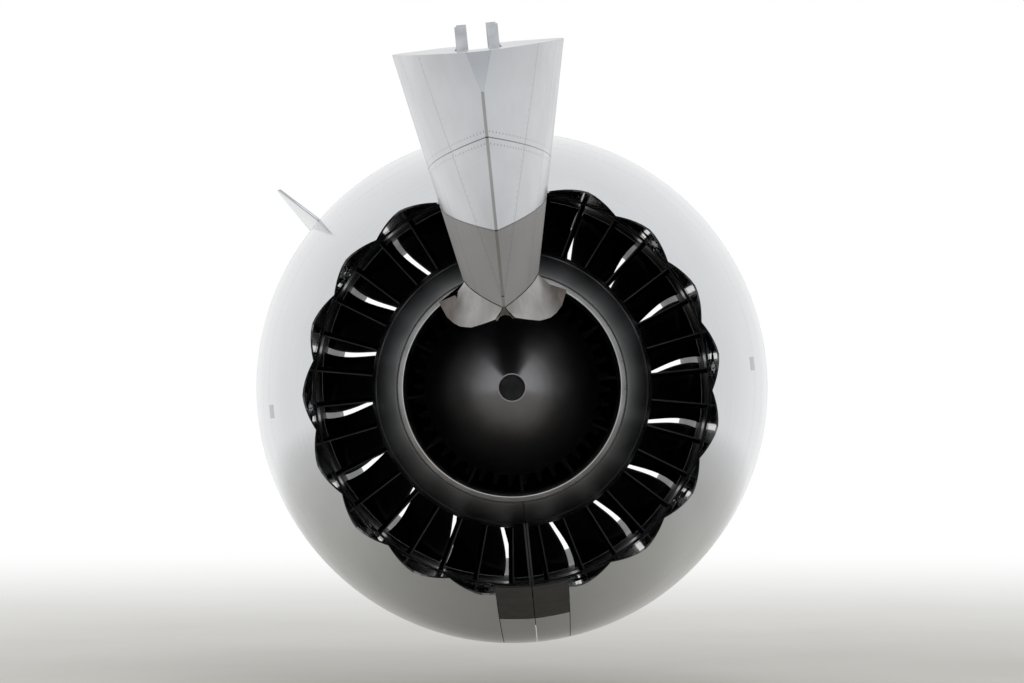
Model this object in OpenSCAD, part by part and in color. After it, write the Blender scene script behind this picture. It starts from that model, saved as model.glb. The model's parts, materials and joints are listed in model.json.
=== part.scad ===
// Turbofan engine in its nacelle, hung from a pylon that ends plainly at the wing's underside.
// Stations run aft from the inlet's front edge along the engine axis, and radii from that axis.

/* [Nacelle] */
// Largest radius of the nacelle
nacelle_r = 1825; // [1815:5:1845]
// Station of the largest radius
nacelle_s = 2300; // [2250:10:2350]
// Radius of the inlet's front edge
highlight_r = 1480; // [1470:5:1500]
// Radius of the inlet's throat
throat_r = 1330; // [1320:5:1345]
// Length of the bare metal inlet lip
lip_len = 330; // [300:5:360]
// Station where the fan cowl doors begin
cowl_s = 1250; // [1230:5:1270]
// Station where the reverser begins
reverser_s = 2650; // [2640:5:2670]
// Station of the chevron tips
tip_s = 5040; // [5020:5:5080]
// Radius of the chevron tips
tip_r = 1254; // [1245:1:1265]
// Length of the chevrons
chevron_len = 260; // [220:5:280]
// Chevrons on each half
chevron_count = 8; // [7:1:9]
// Wall of a cowl skin
skin_t = 14; // [12:1:18]
// Gap between neighbouring panels
seam = 5; // [4:0.5:7]
// Radius of the bypass duct's outer wall
duct_r = 1400; // [1398:1:1404]
// Width of the keel fairing at six o'clock
keel_w = 460; // [440:5:480]

/* [Fan] */
// Radius at the fan blade tips
fan_r = 1405; // [1400:1:1408]
// Number of fan blades
fan_count = 18; // [16:1:20]
// Radius of the fan hub
hub_r = 440; // [430:5:450]
// Station of the fan hub's front face
fan_s = 1330; // [1320:5:1340]
// Length of the fan hub
fan_len = 420; // [410:5:430]
// Number of outlet guide vanes
vane_count = 34; // [30:1:36]
// Station of the outlet guide vanes
vane_s = 2230; // [2220:5:2240]
// Length of the outlet guide vanes
vane_len = 240; // [230:5:250]

/* [Core] */
// Largest radius of the core cowl
core_r = 940; // [935:5:950]
// Station of the core cowl's largest radius
core_s = 3700; // [3650:10:3750]
// Radius of the core cowl's aft end
core_end_r = 690; // [685:1:695]
// Station of the core cowl's aft end
core_end_s = 6200; // [6180:5:6220]
// Station of the core nozzle's aft edge
nozzle_s = 6600; // [6560:5:6640]
// Radius of the core nozzle's aft edge
nozzle_r = 634; // [630:1:638]
// Largest radius of the exhaust plug
plug_r = 520; // [505:1:525]
// Station of the exhaust plug's aft end
plug_end_s = 7350; // [7300:10:7450]
// Radius of the hole in the exhaust plug's end
vent_r = 73; // [60:1:80]
// Radius of the low-pressure shaft
low_shaft_r = 70; // [66:1:74]
// Bore of the high-pressure shaft
high_bore_r = 90; // [86:1:94]
// Clearance of a running bearing, on the radius
bearing_gap = 0.08; // [0.06:0.01:0.1]

/* [Reverser] */
// Length of the cascade baskets
cascade_len = 600; // [560:10:610]
// Louvres in a cascade basket
louvre_count = 10; // [8:1:12]
// Depth of the cascades
cascade_d = 70; // [60:2:80]
// Length of a blocker door
door_len = 430; // [400:5:440]
// Thickness of a blocker door
door_t = 12; // [10:1:14]

/* [Pylon] */
// Half width of the pylon beam
beam_hw = 130; // [120:2:136]
// Half width of the pylon between the reverser halves
duct_hw = 165; // [162:1:172]
// Height of the wing's underside above the axis at the first lug
wing_z = 2100; // [2080:5:2120]
// Station of the forward wing lug
lug_s = 5600; // [5560:10:5640]
// Distance between the wing lugs
lug_pitch = 1700; // [1660:10:1740]
// Radius of the pin bores in the wing lugs
lug_bore_r = 40; // [36:1:46]
// Thickness of a wing lug
lug_t = 60; // [50:2:70]
// Height of the pin bores above the beam
lug_rise = 110; // [100:5:130]

/* [Hidden] */
silver = "#c9ccd0";
bare = "#b4b6b8";
steel = "#8d8f92";
dark = "#2b2c2e";
titanium = "#7d7a76";
grey = "#9a9da0";
// Points along a long curve, and facets of a large circle
steps = 12;
fine = 200;
// Half width of the strip that the pylon's front fairing covers
crest_hw = 215;
// Half width at which the sleeves end at the top and at the bottom
sleeve_top = 245;
keel_hw = keel_w / 2;
sleeve_bottom = keel_hw + seam;
// Thickness of the skins where the sleeve ends
tail_t = 12;
// Height of the beam's top at the forward lug and the pin's height above the axis
beam_top = wing_z - 60;
pin_z = beam_top + lug_rise;
wing_slope = 0.1244;
// Clearance between pieces that lie against each other
rest_gap = 0.3;

// Outside radius of the nacelle at a station
function front_u(s) = max(0, (nacelle_s - s) / nacelle_s);
function aft_u(s) = (s - nacelle_s) / (tip_s - nacelle_s);
function out_r(s) = s < nacelle_s
    ? highlight_r + (nacelle_r - highlight_r) * sqrt(1 - pow(front_u(s), 2.2))
    : nacelle_r - (nacelle_r - tip_r) * pow(aft_u(s), 1.5);
// Inside radius of the bypass duct at a station
function tail_room(s) = tail_t + 0.1 * max(0, tip_s - 400 - s);
function duct_out(s) = min(duct_r, out_r(s) - tail_room(s));
// Outside radius of the core cowl at a station
function core_u(s) = (s - core_s) / (core_end_s - core_s);
function core_out(s) = s < core_s
    ? core_r - 80 * pow((core_s - s) / 1050, 2)
    : core_r - (core_r - core_end_r) * pow(core_u(s), 1.25);
// Stations from a to b
function run(a, b, n = steps) = [for (i = [0:n]) a + (b - a) * i / n];
function back(p) = [for (i = [len(p) - 1:-1:0]) p[i]];

// Moves engine coordinates so that the forward wing pin is at the origin
module placed() translate([0, lug_s, -pin_z]) children();
// Solid of revolution from points of station and radius
module rev(p) placed() rotate([90, 0, 0]) rotate_extrude($fn = fine) polygon([for (q = p) [q[1], q[0]]]);
// Right half of solids of revolution, from x = bottom at the foot to x = top at the crest
module right_half(profiles, top, bottom) {
    placed() difference() {
        for (p = profiles)
            rotate([90, 0, 0]) rotate_extrude(angle = 180, start = -90, $fn = fine)
                polygon([for (q = p) [q[1], q[0]]]);
        translate([-1, -9000, 0]) cube([top + 1, 9500, 2500]);
        translate([-1, -9000, -2500]) cube([bottom + 1, 9500, 2500]);
    }
}
// Slice of a solid of revolution between two values of x, above or below the axis
module slice(p, x0, x1, up = true) {
    placed() intersection() {
        rotate([90, 0, 0]) rotate_extrude(angle = 90, start = up ? 0 : -90, $fn = fine)
            polygon([for (q = p) [q[1], q[0]]]);
        translate([x0, -9000, up ? 0 : -2500]) cube([x1 - x0, 9500, 2500]);
    }
}
module left() mirror([1, 0, 0]) children();
// Cylinder along the engine axis from station a to b, at x and z
module rod(a, b, r, x = 0, z = 0) {
    placed() translate([x, -a, z]) rotate([90, 0, 0]) cylinder(r = r, h = b - a, $fn = 48);
}
// Block from station a to b
module block(a, b, x0, x1, z0, z1) {
    placed() translate([x0, -b, z0]) cube([x1 - x0, b - a, z1 - z0]);
}
// Closed solid through rings of points, each ring with the same number of points
// Solid through rings of points; paired caps suit rings whose ends are strips rather than flat faces
module loft(rings, paired = false) {
    n = len(rings[0]);
    m = len(rings);
    cap = paired
        ? [for (i = [0:n / 2 - 2], f = [[i, i + 1, n - 2 - i], [i, n - 2 - i, n - 1 - i]]) f]
        : [[for (i = [0:n - 1]) i]];
    placed() polyhedron(
        points = [for (r = rings, q = r) q],
        faces = concat(
            cap,
            [for (j = [0:m - 2], i = [0:n - 1], t = [0, 1]) t == 0
                ? [j * n + i, (j + 1) * n + i, j * n + (i + 1) % n]
                : [j * n + (i + 1) % n, (j + 1) * n + i, (j + 1) * n + (i + 1) % n]],
            [for (f = cap) [for (k = back(f)) (m - 1) * n + k]]
        )
    );
}

// Inlet

function lip_in(s) = throat_r + (highlight_r - throat_r) * (1 - sqrt(1 - pow(1 - s / lip_len, 2)));
function inlet_u(s) = (s - lip_len) / (cowl_s - lip_len);
function inlet_in(s) = throat_r + (fan_r + 3 - throat_r) * (1 - cos(180 * inlet_u(s))) / 2;
lip_stations = [for (i = [1:steps]) lip_len * pow(i / steps, 2)];
lip_cavity = run(50, lip_len, 6);
liner_t = 25;

module inlet_lip() color(bare) rev(concat(
    [[0, highlight_r]],
    [for (s = lip_stations) [s, out_r(s)]],
    [for (s = back(lip_cavity)) [s, out_r(s) - skin_t]],
    [for (s = lip_cavity) [s, lip_in(s) + skin_t]],
    [for (s = back(lip_stations)) [s, lip_in(s)]]
));

module inlet_outer_barrel() color(silver) {
    skin = run(lip_len, cowl_s - seam, 8);
    rev(concat([for (s = skin) [s, out_r(s)]], [for (s = back(skin)) [s, out_r(s) - skin_t]]));
    for (s = [lip_len, cowl_s - 60])
        rev([
            [s, inlet_in(s) + liner_t + 2], [s, out_r(s) - skin_t + 2],
            [s + 10, out_r(s + 10) - skin_t + 2], [s + 10, inlet_in(s) + liner_t + 2]
        ]);
}

module inlet_inner_barrel() color(grey) {
    wall = run(lip_len, cowl_s, 8);
    rev(concat([for (s = wall) [s, inlet_in(s)]], [for (s = back(wall)) [s, inlet_in(s) + liner_t]]));
}

// Fan

fan_end = fan_s + fan_len;
case_end = reverser_s - seam;
fairing_s = 1880;
// Stations of the core's flanges
case_s = 2640;
comb_s = 3500;
turb_s = 4020;
rear_s = 5250;
rear_end = 5550;
fairing_r = 820;
fairing_end_r = core_out(reverser_s);
hub_bore = low_shaft_r;

// Outside radius of the fan case behind the fan
case_r = duct_r + 40;
module fan_case() color(grey) rev([
    [cowl_s, fan_r + 3], [cowl_s, fan_r + 95], [cowl_s + 20, fan_r + 95], [cowl_s + 20, fan_r + 45],
    [fan_s - 30, fan_r + 45], [fan_s, fan_r + 75], [fan_end + 60, fan_r + 75], [fan_end + 90, case_r],
    [vane_s - 60, case_r], [vane_s - 60, case_r + 35], [vane_s - 40, case_r + 35], [vane_s - 40, case_r],
    [vane_s + vane_len + 40, case_r], [vane_s + vane_len + 40, case_r + 35],
    [vane_s + vane_len + 60, case_r + 35], [vane_s + vane_len + 60, case_r],
    [case_end - 20, case_r], [case_end - 20, case_r + 50], [case_end, case_r + 50], [case_end, duct_r],
    [vane_s - 60, duct_r], [fan_end + 60, fan_r + 3]
]);

module spinner() color(dark) {
    nose_s = fan_s - 470;
    outside = [for (i = [0:steps]) [nose_s + 470 * pow(i / steps, 1.5), hub_r * pow(i / steps, 0.95)]];
    rev(concat(outside, [[fan_s, hub_r - 10]], 
        [for (q = back(outside)) if (q[1] > 60) [min(fan_s, q[0] + 14), q[1] - 14]], [[nose_s + 40, 0]]));
}

module fan_disc() color(titanium) rev([
    [fan_s + 0.3, hub_r - 60], [fan_s + 0.3, hub_r], [fan_end, hub_r], [fan_end, hub_r - 40],
    [fan_end - 140, hub_r - 60], [fan_end - 160, 220], [fan_end - 120, hub_bore + 60],
    [fan_end - 120, hub_bore + rest_gap], [fan_s + 120, hub_bore + rest_gap],
    [fan_s + 120, hub_bore + 60], [fan_s + 160, 220], [fan_s + 140, hub_r - 60]
]);

// Angle across one blade seen along the axis, which leaves a narrow slit to the next blade
blade_span = 360 / fan_count - 1.7;
blade_radii = [for (t = [0.001, 0.125, 0.31, 0.5, 0.66, 0.83, 0.93, 1]) hub_r + (fan_r - hub_r) * t];
function blade_axial(r) = 380 - 150 * pow((r - hub_r) / (fan_r - hub_r), 1.3);
function blade_lean(r) = 3.2 * sin(300 * (r - hub_r) / (fan_r - hub_r));
function blade_mid(r) = fan_s + fan_len / 2 + 25 * sin(180 * (r - hub_r) / (fan_r - hub_r));
// Points round a section: u runs along the chord, and half the thickness is square to it
function blade_half(u, r) = (16 - 11 * (r - hub_r) / (fan_r - hub_r)) * sqrt(max(0.02, 4 * u * (1 - u)));
function blade_point(u, side, r) = let (
        a = blade_lean(r) + blade_span * (u - 0.5),
        camber = 30 * sin(180 * u),
        s = blade_mid(r) + blade_axial(r) * (u - 0.5) - camber + side * blade_half(u, r)
    ) [r * sin(a), -s, r * cos(a)];
chord_u = [0, 0.15, 0.38, 0.62, 0.85, 1];
module fan_blades() color(dark)
    for (i = [0:fan_count - 1])
        placed() rotate([0, 360 / fan_count * i, 0]) translate([0, -lug_s, pin_z]) loft([
            for (r = blade_radii) concat(
                [for (u = chord_u) blade_point(u, 1, r)],
                [for (u = back(chord_u)) blade_point(u, -1, r)]
            )
        ], true);

module vane_section() polygon(concat(
    [for (u = [0:0.25:1]) [28 * sin(180 * u) + 5, -vane_len * u]],
    [for (u = [1:-0.25:0]) [28 * sin(180 * u) - 5, -vane_len * u]]
));
module outlet_guide_vanes() color(grey) {
    for (i = [0:vane_count - 1])
        placed() rotate([0, 360 / vane_count * (i + 0.5), 0]) translate([0, -vane_s, fairing_r + 5])
            linear_extrude(height = duct_r - fairing_r - 10) vane_section();
    for (r = [fairing_r + rest_gap, duct_r - 8 - rest_gap])
        rev([
            [vane_s - 10, r], [vane_s - 10, r + 8],
            [vane_s + vane_len + 10, r + 8], [vane_s + vane_len + 10, r]
        ]);
}

// Splitter and the bypass duct's inner wall up to the reverser
module core_fairing() color(grey) rev([
    [fairing_s, split_r], [fairing_s + 60, 735], [vane_s - 100, fairing_r], [vane_s + vane_len + 30, fairing_r],
    [case_end, fairing_end_r], [case_end, fairing_end_r - 14], [vane_s + vane_len + 30, fairing_r - 14],
    [vane_s - 100, fairing_r - 14], [fairing_s + 140, split_r], [fairing_s + 330, 680],
    [fairing_s + 330, 668], [fairing_s + 60, 676]
]);

// Ring with straight blades standing on it
module bladed_ring(a, b, bore, root, tip, count, turn = 0) {
    step = 360 / count;
    placed() translate([0, -a, 0]) rotate([90, 0, 0]) linear_extrude(height = b - a) difference() {
        polygon([for (i = [0:count - 1], q = [[-0.32, root], [-0.12, tip], [0.12, tip], [0.32, root]])
            q[1] * [sin(step * (i + turn + q[0])), cos(step * (i + turn + q[0]))]]);
        circle(r = bore, $fn = fine);
    }
}

module booster() color(titanium) {
    rev([
        [fan_end + rest_gap, hub_r - 30], [fan_end + rest_gap, hub_r], [fan_end + 60, drum_r],
        [frame_s - 25, drum_r], [frame_s - 25, drum_r - 14], [fan_end + 80, drum_r - 14],
        [fan_end + 30, hub_r - 30]
    ]);
    for (a = [fan_end + 150, fan_end + 260, fan_end + 370])
        bladed_ring(a, a + 50, drum_r - 5, drum_r + 2, split_r - 40, 36);
}

// Fan frame between the fan and the core
frame_s = vane_s - 15;
frame_end = case_s - 140;
frame_hub = 300;
drum_r = 520;
split_r = 700;
frame_web_r = fairing_r - 14 - rest_gap;
module fan_frame() color(steel) {
    rev([
        [frame_s, split_r - 20], [frame_s, split_r], [frame_s + 75, split_r], [frame_s + 75, frame_web_r],
        [frame_s + 95, frame_web_r], [frame_s + 95, split_r], [frame_end - 40, 640],
        [frame_end - 20, frame_web_r], [frame_end, frame_web_r], [frame_end, 620], [case_s, 470],
        [case_s, 450], [frame_end - 20, 600], [frame_s + 85, split_r - 20]
    ]);
    rev([
        [frame_s, 500], [frame_s, 480], [frame_s + 25, frame_hub], [case_s - 40, frame_hub],
        [case_s - 40, 320], [case_s, 330], [case_s, 345], [frame_end - 20, 440], [frame_s + 85, 500]
    ]);
    for (i = [0:7])
        placed() rotate([0, 45 * i + 22.5, 0]) translate([-12, -frame_end + 60, 450]) cube([24, 160, 190]);
}

// Core

function compressor_tip(s) = 430 - 80 * (s - case_s) / (comb_s - case_s);
function turbine_tip(s) = 480 + 160 * (s - turb_s) / (rear_s - turb_s);

module compressor_case() color(steel) {
    rev([
        [case_s, 434], [case_s, 500], [case_s + 15, 500], [case_s + 15, 455], [comb_s - 16, 374],
        [comb_s - 16, 480], [comb_s, 480], [comb_s, 356]
    ]);
    for (s = [case_s + 180, case_s + 320, case_s + 460])
        rev([[s, compressor_tip(s) + 15], [s, compressor_tip(s) + 45], [s + 12, compressor_tip(s) + 45], [s + 12, compressor_tip(s) + 13]]);
}
module combustor_case() color(titanium) rev([
    [comb_s, 356], [comb_s, 510], [comb_s + 15, 510], [comb_s + 30, 450], [comb_s + 200, 500],
    [turb_s - 15, 500], [turb_s - 15, 540], [turb_s, 540], [turb_s, 460], [turb_s - 15, 460],
    [turb_s - 15, 488], [comb_s + 200, 488], [comb_s + 40, 436], [comb_s + 15, 356]
]);
nozzle_count = 16;
module fuel_manifold() color(steel) {
    placed() translate([0, -comb_s - 130, 0]) rotate([90, 0, 0]) rotate_extrude($fn = fine)
        translate([560, 0]) circle(r = 12, $fn = 24);
    for (i = [0:nozzle_count - 1])
        placed() rotate([0, 360 / nozzle_count * (i + 0.5), 0]) translate([0, -comb_s - 130, 482])
            cylinder(r = 9, h = 80, $fn = 24);
}
module turbine_case() color(titanium) rev([
    [turb_s, 484], [turb_s, 540], [turb_s + 15, 540], [turb_s + 15, 500], [rear_s - 15, 660],
    [rear_s - 15, 700], [rear_s, 700], [rear_s, 644]
]);
module turbine_rear_frame() color(titanium) {
    rev([
        [rear_s, 640], [rear_s, 700], [rear_s + 15, 700], [rear_s + 15, 656], [rear_end - 15, 656],
        [rear_end - 15, 690], [rear_end, 690], [rear_end, 640]
    ]);
    rev([[rear_s, frame_hub], [rear_s, 430], [rear_end, 430], [rear_end, frame_hub]]);
    for (i = [0:11])
        placed() rotate([0, 30 * i, 0]) translate([-9, -rear_end + 40, 425]) cube([18, 200, 220]);
}
module low_pressure_shaft() color(steel) {
    rod(fan_s + 100, rear_s + 200, low_shaft_r);
}
turbine_first = turb_s + 380;
turbine_last = turb_s + 1040;
turbine_stations = [turbine_first, turb_s + 600, turb_s + 820, turbine_last];
turbine_disc_s = turb_s + 740;
module low_pressure_turbine() color(titanium) {
    for (i = [0:len(turbine_stations) - 1])
        let (s = turbine_stations[i])
            bladed_ring(s, s + 90, turbine_tip(s) - 150, turbine_tip(s) - 130, turbine_tip(s) - 4, 40, i / 4);
    rev([
        [turbine_first - 20, turbine_tip(turbine_first) - 175], [turbine_first - 20, turbine_tip(turbine_first) - 149],
        [turbine_last + 110, turbine_tip(turbine_last) - 135], [turbine_last + 110, turbine_tip(turbine_last) - 175]
    ]);
    rev([
        [turbine_disc_s, low_shaft_r + rest_gap], [turbine_disc_s + 20, 380], [turbine_disc_s + 20, 400],
        [turbine_disc_s + 40, 400], [turbine_disc_s + 40, 380], [turbine_disc_s + 70, low_shaft_r + rest_gap]
    ]);
}
high_shaft_r = high_bore_r + 20;
module high_pressure_compressor() color(titanium) {
    rev([
        [case_s + 30, 300], [case_s + 30, 330], [comb_s - 40, 280], [comb_s - 40, 255],
        [comb_s - 80, 255], [comb_s - 80, high_shaft_r + rest_gap], [comb_s - 110, high_shaft_r + rest_gap],
        [comb_s - 110, 255]
    ]);
    for (s = [case_s + 50, case_s + 220, case_s + 380, case_s + 530, case_s + 670])
        bladed_ring(s, s + 50, compressor_tip(s) - 118, compressor_tip(s) - 90, compressor_tip(s) - 6, 36);
}
module high_pressure_turbine() color(steel) {
    rev([
        [case_s + 20, high_bore_r], [case_s + 20, high_shaft_r], [turb_s + 20, high_shaft_r],
        [turb_s + 40, 180], [turb_s + 40, 400], [turb_s + 140, 400], [turb_s + 140, 180],
        [turb_s + 160, high_bore_r]
    ]);
    bladed_ring(turb_s + 50, turb_s + 130, 390, 402, 456, 50);
}
module bearing_housings() color(steel) {
    rev([
        [frame_s + 165, low_shaft_r + bearing_gap], [frame_s + 115, frame_hub - rest_gap],
        [frame_s + 135, frame_hub - rest_gap], [frame_s + 205, 120], [frame_s + 225, 120],
        [frame_s + 225, low_shaft_r + bearing_gap]
    ]);
    rev([
        [case_s + 60, high_shaft_r + bearing_gap], [case_s + 60, 150], [case_s, 200],
        [case_s - 40, frame_hub - rest_gap], [case_s - 60, frame_hub - rest_gap], [case_s - 20, 190],
        [case_s + 30, 140], [case_s + 30, high_shaft_r + bearing_gap]
    ]);
    rev([
        [rear_s + 80, low_shaft_r + bearing_gap], [rear_s + 80, 110], [rear_s + 130, frame_hub - rest_gap],
        [rear_s + 160, frame_hub - rest_gap], [rear_s + 140, 110], [rear_s + 140, low_shaft_r + bearing_gap]
    ]);
}

// Exhaust
plug_s = 6050;
function plug_out(s) = s < plug_s
    ? 430 + (plug_r - 430) * sin(90 * (s - rear_end) / (plug_s - rear_end))
    : plug_r - (plug_r - vent_r - 6) * pow((s - plug_s) / (plug_end_s - plug_s), 1.15);
module core_nozzle() color(bare) {
    band = run(core_end_s + seam, nozzle_s, 5);
    band_r = core_end_r - 18;
    seat_r = cowl_r(core_end_s) - 20 - rest_gap;
    rev(concat(
        [[rear_end, 640], [rear_end, 690], [rear_end + 15, 690], [rear_end + 15, 650], [core_end_s - 34, 650],
            [core_end_s - 30, seat_r], [core_end_s + seam, seat_r]],
        [for (s = band) [s, band_r - (band_r - nozzle_r) * pow((s - band[0]) / (nozzle_s - band[0]), 1.2)]],
        [[nozzle_s, nozzle_r - 5], [core_end_s + 80, 638], [core_end_s - 200, 640]]
    ));
}
module exhaust_plug() color(titanium) {
    skin = concat(run(rear_end, plug_s, 5), [for (s = run(plug_s, plug_end_s, 10)) if (s > plug_s) s]);
    rev(concat([for (s = skin) [s, plug_out(s)]], [for (s = back(skin)) [s, plug_out(s) - 8]]));
}

// Fan cowl doors

cowl_stations = run(cowl_s, reverser_s - seam);
cowl_top = crest_hw + 16;
hinge_x = cowl_top + 14;
hinge_stations = [1900, 2110, 2420];
hinge_z = sqrt(pow(out_r(hinge_stations[0]), 2) - pow(hinge_x, 2)) - 16;
hinge_r = 6;
rib_stations = [1420, 1700, 1980, 2260, 2540];
latch_stations = [1600, 2400];
latch_z = -out_r(latch_stations[0]) + 9;
latch_x = 66;
latch_len = 140;
latch_t = 12;
door_angle = 205;
door_s = 1560;
door_w = 260;
door_h = 150;
fit_gap = 0.8;

module cowl_shell() right_half([concat(
    [for (s = cowl_stations) [s, out_r(s)]],
    [[reverser_s - seam, out_r(reverser_s - seam) - skin_t]],
    [for (s = back(rib_stations), q = [[15, skin_t], [15, 45], [-15, 45], [-15, skin_t]])
        [s + q[0], out_r(s + q[0]) - q[1]]],
    [[cowl_s, out_r(cowl_s) - skin_t]]
)], cowl_top, seam / 2);
module cowl_knuckles() for (s = hinge_stations) rod(s - 20, s + 20, 13, hinge_x, hinge_z);
module hinge_bores(r) for (s = hinge_stations) rod(s - 60, s + 60, r, hinge_x, hinge_z);
// Slots in the skin for the brackets on either side of a knuckle
module hinge_slots() for (s = hinge_stations, a = [-38, 21])
    block(s + a, s + a + 17, cowl_top - 2, hinge_x + 15, hinge_z - 20, hinge_z + 60);
module fan_cowl_right() color(silver) difference() {
    union() {
        cowl_shell();
        cowl_knuckles();
    }
    hinge_bores(hinge_r + bearing_gap);
    hinge_slots();
}
module door_box(grow) placed() translate([0, -door_s, 0]) rotate([0, -door_angle, 0])
    translate([nacelle_r - 125, -door_w - grow, -door_h - grow]) cube([200, door_w + 2 * grow, 2 * (door_h + grow)]);
module fan_cowl_left() color(silver) difference() {
    left() union() {
        cowl_shell();
        cowl_knuckles();
    }
    left() hinge_bores(hinge_r + bearing_gap);
    left() hinge_slots();
    door_box(fit_gap);
    door_barrel(barrel_r + fit_gap, 7);
    for (s = latch_stations)
        block(s - latch_len / 2 - 0.6, s + latch_len / 2 + 0.6, -latch_x - 6.6, 0, latch_z - 30, latch_z + 60);
}
// Hinge barrel along the lower edge of the oil door
door_axis_r = sqrt(pow(out_r(door_s + door_w), 2) - pow(door_h, 2)) - 1;
barrel_r = 6;
module door_barrel(r, grow) placed() rotate([0, -door_angle, 0])
    translate([door_axis_r, -door_s - 150 + grow, -door_h - 1]) rotate([90, 0, 0])
        cylinder(r = r, h = door_w - 156 + 2 * grow, $fn = 48);
module oil_door() color(silver) {
    door_panel();
    door_barrel(barrel_r, 0);
}
module door_panel() intersection() {
    skin = run(door_s - 20, door_s + door_w + 20, 4);
    rev(concat([for (s = skin) [s, out_r(s)]], [for (s = back(skin)) [s, out_r(s) - skin_t]]));
    door_box(0);
}
module cowl_latch(s) color(bare) {
    rod(s - latch_len / 2, s + latch_len / 2, latch_t / 2, -latch_x, latch_z);
    block(s - latch_len / 2, s + latch_len / 2, -latch_x, -6, latch_z - latch_t / 2, latch_z + latch_t / 2);
}
module cowl_latch_front() cowl_latch(latch_stations[0]);
module cowl_latch_aft() cowl_latch(latch_stations[1]);
// Pins and brackets that carry the fan cowl doors on the fan case
module cowl_hinges() color(steel) for (m = [0, 1]) mirror([m, 0, 0]) {
    difference() {
        for (s = hinge_stations, d = [-36, 24])
            block(s + d, s + d + 12, hinge_x - 12, hinge_x + 12, duct_r, hinge_z);
        rev([[1700, 0], [1700, case_r + rest_gap], [2600, case_r + rest_gap], [2600, 0]]);
    }
    for (s = hinge_stations)
        rod(s - 36, s + 36, hinge_r, hinge_x, hinge_z);
    for (s = hinge_stations, d = [-36, 24])
        rod(s + d, s + d + 12, 12, hinge_x, hinge_z);
}
// Fin on the left side that keeps the air on the wing
strake_angle = 135;
strake_mid = 2000;
strake_toe = 6;
module strake() color(silver) placed() rotate([0, -strake_angle, 0])
    translate([0, -strake_mid, 0]) rotate([strake_toe, 0, 0]) translate([0, strake_mid, -8])
        linear_extrude(height = 16) polygon(concat(
            [for (i = [1:11]) [out_r(cowl_stations[i]) + rest_gap, -cowl_stations[i]]],
            [[nacelle_r + 350, -2400], [nacelle_r + 370, -2300], [nacelle_r + 300, -2130]]
        ));

// Reverser

hinge_beam_x = duct_hw + 7;
duct_end = tip_s - 10;
ring_end = reverser_s + 65;
keel_s = 4080;
strip_end = 4480;
skin_stations = run(reverser_s + seam, duct_end);
function wall(list, t) = concat([for (s = list) [s, duct_out(s)]], [for (s = back(list)) [s, duct_out(s) + t]]);
module reverser_right() color(grey) {
    r = out_r(ring_end) - skin_t - 25;
    right_half([[
        [reverser_s + seam, duct_r], [ring_end, duct_r], [ring_end, r], [reverser_s + seam, r],
        [reverser_s + seam, r - 15], [ring_end - 15, r - 15], [ring_end - 15, duct_r + 15],
        [reverser_s + seam, duct_r + 15]
    ]], hinge_beam_x, seam / 2);
    difference() {
        union() {
            difference() {
                slice(concat(
                    [for (s = skin_stations) [s, out_r(s)]],
                    [for (s = back(skin_stations)) [s, duct_out(s)]]
                ), cowl_top, sleeve_top - seam);
                for (s = rev_hinge_stations, a = [-40, 21])
                    block(s + a, s + a + 19, cowl_top - 2, sleeve_top, rev_hinge_line - 20, rev_hinge_line + 60);
            }
            for (s = rev_hinge_stations) {
                hinge_rod(s, -19, 19, knuckle_r);
                block(s - 19, s + 19, cowl_top, sleeve_top - seam, out_r(s) - 60, rev_hinge_line);
            }
        }
        for (s = rev_hinge_stations)
            hinge_rod(s, -50, 50, hinge_r + bearing_gap);
    }
    slice(wall(skin_stations, 12), hinge_beam_x, cowl_top + 1);
    floor_s = run(reverser_s + seam, strip_end, 8);
    slice(wall(floor_s, 12), seam / 2, keel_hw, false);
    skin = run(reverser_s + seam, keel_s - seam, 8);
    slice(concat(
        [for (s = skin) [s, out_r(s)]], [for (s = back(skin)) [s, out_r(s) - skin_t]]
    ), seam / 2, keel_hw, false);
    web = run(reverser_s + seam, 4400, 8);
    slice(concat(
        [for (s = web) [s, out_r(s) - skin_t - rest_gap]], [for (s = back(web)) [s, duct_out(s) + 2]]
    ), seam / 2, 20, false);
}
module reverser_left() left() reverser_right();
module keel_fairing_right() color("#332d29") {
    skin = run(keel_s, duct_end);
    slice(concat(
        [for (s = skin) [s, out_r(s)]],
        [for (s = back(skin)) [s, s > strip_end + seam ? duct_out(s) : out_r(s) - skin_t]]
    ), seam / 2, keel_hw, false);
}
module keel_fairing_left() left() keel_fairing_right();

cascade_s = ring_end + rest_gap;
cascade_r = duct_r + 50;
module cascades_right() color(titanium) {
    pitch = (cascade_len - 20) / louvre_count;
    right_half(concat(
        [for (a = [cascade_s, cascade_s + cascade_len - 14]) [
            [a, cascade_r], [a, cascade_r + cascade_d], [a + 14, cascade_r + cascade_d], [a + 14, cascade_r]
        ]],
        [for (i = [1:louvre_count - 1]) let (a = cascade_s + pitch * i) [
            [a + 10, cascade_r], [a - 2, cascade_r + cascade_d / 2], [a - 22, cascade_r + cascade_d],
            [a - 16, cascade_r + cascade_d], [a + 4, cascade_r + cascade_d / 2], [a + 16, cascade_r]
        ]]
    ), sleeve_top + 10, sleeve_bottom + 10);
    for (a = [-78, -47, -16, 16, 47, 77])
        placed() rotate([0, -a, 0]) translate([cascade_r, -cascade_s - cascade_len, -5])
            cube([cascade_d, cascade_len, 10]);
}
module cascades_left() left() cascades_right();

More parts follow.
